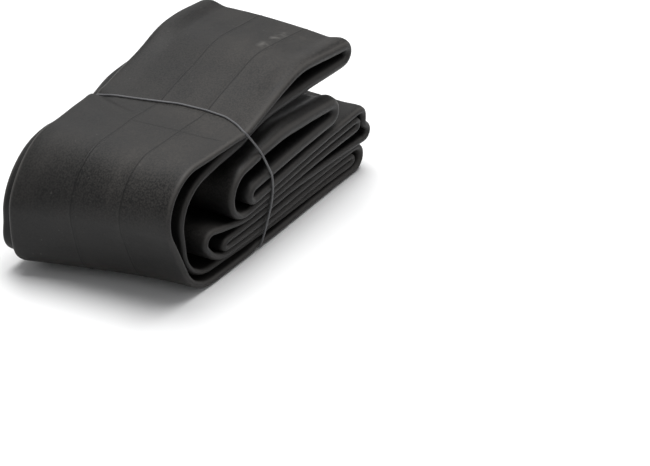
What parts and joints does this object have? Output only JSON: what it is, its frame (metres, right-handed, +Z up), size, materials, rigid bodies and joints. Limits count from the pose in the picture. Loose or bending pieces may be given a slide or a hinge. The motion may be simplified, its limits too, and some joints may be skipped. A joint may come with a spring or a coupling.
{
  "type": "folded inner tube",
  "caption": "Bicycle inner tube, flattened and folded into a packet held by an elastic band, with a threaded valve, rim nut and dust cap.",
  "frame": {"origin": "on the floor, under the middle of the folded packet", "axes": "+X along the packet towards the stacked fold ends, +Y across it towards the side where the valve stands out, +Z up"},
  "size_m": [0.1828, 0.1405, 0.084],
  "materials": {
    "butyl": "matt, lightly dusted with talc",
    "elastic": "satin",
    "moulded_rubber": "matt",
    "plated_brass": "nickel plated, satin",
    "brass": "turned",
    "seal_plastic": "matt",
    "cap_plastic": "matt"
  },
  "bodies": {
    "packet": {"tube": "butyl", "elastic_band": "elastic", "valve_base": "moulded_rubber", "valve_stem": "plated_brass"},
    "rim_nut": {"rim_nut": "plated_brass"},
    "core": {"core_body": "brass", "core_gasket": "seal_plastic"},
    "plunger": {"plunger_pin": "brass", "plunger_seal": "moulded_rubber"},
    "pin_nut": {"pin_nut": "brass"},
    "dust_cap": {"dust_cap": "cap_plastic"}
  },
  "joints": [
    {"name": "rim_nut_travel", "type": "slide", "parent": "packet", "child": "rim_nut", "axis": [0, 1, 0], "range_m": [-0.0035, 0.013]},
    {"name": "core_removal", "type": "slide", "parent": "packet", "child": "core", "axis": [0, 1, 0], "range_m": [0, 0.022]},
    {"name": "pin_press", "type": "slide", "parent": "core", "child": "plunger", "axis": [0, 1, 0], "range_m": [-0.0017, 0]},
    {"name": "pin_nut_release", "type": "slide", "parent": "plunger", "child": "pin_nut", "axis": [0, 1, 0], "range_m": [0, 0.002]},
    {"name": "cap_removal", "type": "slide", "parent": "core", "child": "dust_cap", "axis": [0, 1, 0], "range_m": [0, 0.03]}
  ],
  "couplings": [
    {"joint": "pin_press", "follows": "pin_nut_release", "ratio": -0.85}
  ]
}
